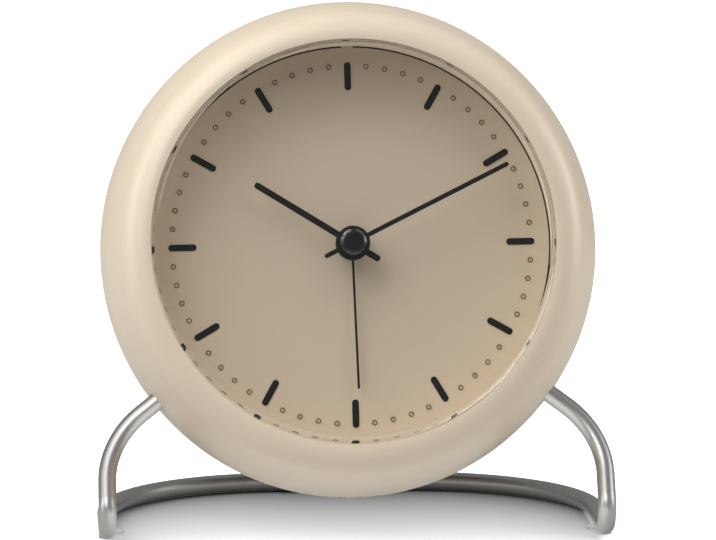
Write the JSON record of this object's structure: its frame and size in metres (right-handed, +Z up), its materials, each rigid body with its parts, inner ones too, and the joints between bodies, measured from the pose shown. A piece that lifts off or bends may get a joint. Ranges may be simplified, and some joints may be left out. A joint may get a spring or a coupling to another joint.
{
  "type": "table clock",
  "caption": "Round table clock: a spherical case with a recessed plain dial, leaning back in a stand bent from one steel rod.",
  "frame": {"origin": "on the table, under the middle of the bounding box", "axes": "+Z up, the dial faces -Y and leans back towards +Y, +X to the right as seen from the front"},
  "size_m": [0.1136, 0.0758, 0.1163],
  "materials": {
    "case_sand": "smooth sand-coloured lacquer",
    "dial_paint": "satin paint",
    "rod_steel": "satin",
    "print": "matte black",
    "hands": "matte black",
    "glass": "clear",
    "pad_clear": "clear soft plastic",
    "arbor_steel": "turned",
    "brass": "satin",
    "movement_plastic": "natural",
    "cover_plastic": "fine texture",
    "copper": "enamelled winding wire",
    "board": "coated laminate",
    "lead_red": "insulation",
    "lead_black": "insulation",
    "battery_case": "plain sleeve"
  },
  "bodies": {
    "clock": {"case_shell": "case_sand", "stand_rod": "rod_steel", "foot_pads": "pad_clear", "glass": "glass", "dial_ring": "case_sand", "dial_plate": "dial_paint", "hour_bars": "print", "minute_rings": "print", "movement_front_plate": "movement_plastic", "movement_middle_plate": "movement_plastic", "movement_housing": "movement_plastic", "movement_screws": "arbor_steel", "stator": "arbor_steel", "coil": "copper", "circuit_board": "board", "quartz_crystal": "arbor_steel", "control_chip": "print", "buzzer": "cover_plastic", "buzzer_leads": "lead_red", "battery": "battery_case", "contact_plus": "arbor_steel", "contact_spring": "arbor_steel", "battery_leads": "lead_black", "rear_cover": "cover_plastic", "cover_screws": "arbor_steel"},
    "minute": {"minute_arbor": "arbor_steel", "minute_hand": "hands", "hand_cap": "hands"},
    "hour": {"hour_wheel": "movement_plastic", "hour_hand": "hands"},
    "motion": {"motion_wheel": "movement_plastic"},
    "time_set": {"time_stem": "arbor_steel", "time_knob": "cover_plastic"},
    "alarm": {"alarm_wheel": "movement_plastic", "alarm_hand": "hands"},
    "alarm_set": {"alarm_stem": "arbor_steel", "alarm_knob": "cover_plastic"},
    "switch": {"alarm_switch": "print"},
    "centre": {"centre_wheel": "brass"},
    "third": {"third_wheel": "brass"},
    "fourth": {"fourth_wheel": "movement_plastic"},
    "fifth": {"fifth_wheel": "movement_plastic"},
    "rotor": {"rotor": "arbor_steel"},
    "door": {"battery_door": "cover_plastic"}
  },
  "joints": [
    {"name": "minute_turn", "type": "hinge", "parent": "clock", "child": "minute", "pos_m": [-0.00086, -0.00791, 0.06213], "axis": [0, 0.9786, -0.2057], "continuous": true},
    {"name": "hour_turn", "type": "hinge", "parent": "clock", "child": "hour", "pos_m": [-0.00086, -0.00791, 0.06213], "axis": [0, 0.9786, -0.2057], "continuous": true},
    {"name": "motion_turn", "type": "hinge", "parent": "clock", "child": "motion", "pos_m": [0.00884, -0.00734, 0.06481], "axis": [0, 0.9786, -0.2057], "continuous": true},
    {"name": "time_set_turn", "type": "hinge", "parent": "clock", "child": "time_set", "pos_m": [0.01174, -0.005, 0.07597], "axis": [0, 0.9786, -0.2057], "continuous": true},
    {"name": "alarm_turn", "type": "hinge", "parent": "clock", "child": "alarm", "pos_m": [-0.00086, -0.00791, 0.06213], "axis": [0, 0.9786, -0.2057], "continuous": true},
    {"name": "alarm_set_turn", "type": "hinge", "parent": "clock", "child": "alarm_set", "pos_m": [-0.014, -0.00509, 0.07556], "axis": [0, 0.9786, -0.2057], "continuous": true},
    {"name": "rotor_turn", "type": "hinge", "parent": "clock", "child": "rotor", "pos_m": [-0.01902, -0.00889, 0.05746], "axis": [0, 0.9786, -0.2057], "continuous": true},
    {"name": "fifth_turn", "type": "hinge", "parent": "clock", "child": "fifth", "pos_m": [-0.01636, -0.01033, 0.0506], "axis": [0, 0.9786, -0.2057], "continuous": true},
    {"name": "fourth_turn", "type": "hinge", "parent": "clock", "child": "fourth", "pos_m": [-0.00589, -0.01088, 0.048], "axis": [0, 0.9786, -0.2057], "continuous": true},
    {"name": "third_turn", "type": "hinge", "parent": "clock", "child": "third", "pos_m": [0.00523, -0.01001, 0.05213], "axis": [0, 0.9786, -0.2057], "continuous": true},
    {"name": "centre_turn", "type": "hinge", "parent": "clock", "child": "centre", "pos_m": [-0.00086, -0.00791, 0.06213], "axis": [0, 0.9786, -0.2057], "continuous": true},
    {"name": "switch_slide", "type": "slide", "parent": "clock", "child": "switch", "axis": [0.9999, 0.0028, 0.0132], "range_m": [0, 0.004]},
    {"name": "door_pull", "type": "slide", "parent": "clock", "child": "door", "axis": [0, 0.9786, -0.2057], "range_m": [0, 0.022]}
  ],
  "couplings": [
    {"joint": "hour_turn", "follows": "minute_turn", "ratio": 0.083333},
    {"joint": "motion_turn", "follows": "minute_turn", "ratio": -0.33333},
    {"joint": "time_set_turn", "follows": "minute_turn", "ratio": 0.6},
    {"joint": "alarm_set_turn", "follows": "alarm_turn", "ratio": -3.75},
    {"joint": "fifth_turn", "follows": "rotor_turn", "ratio": -0.25},
    {"joint": "fourth_turn", "follows": "rotor_turn", "ratio": 0.03125},
    {"joint": "third_turn", "follows": "rotor_turn", "ratio": -0.0041667},
    {"joint": "centre_turn", "follows": "rotor_turn", "ratio": 0.00055556}
  ]
}
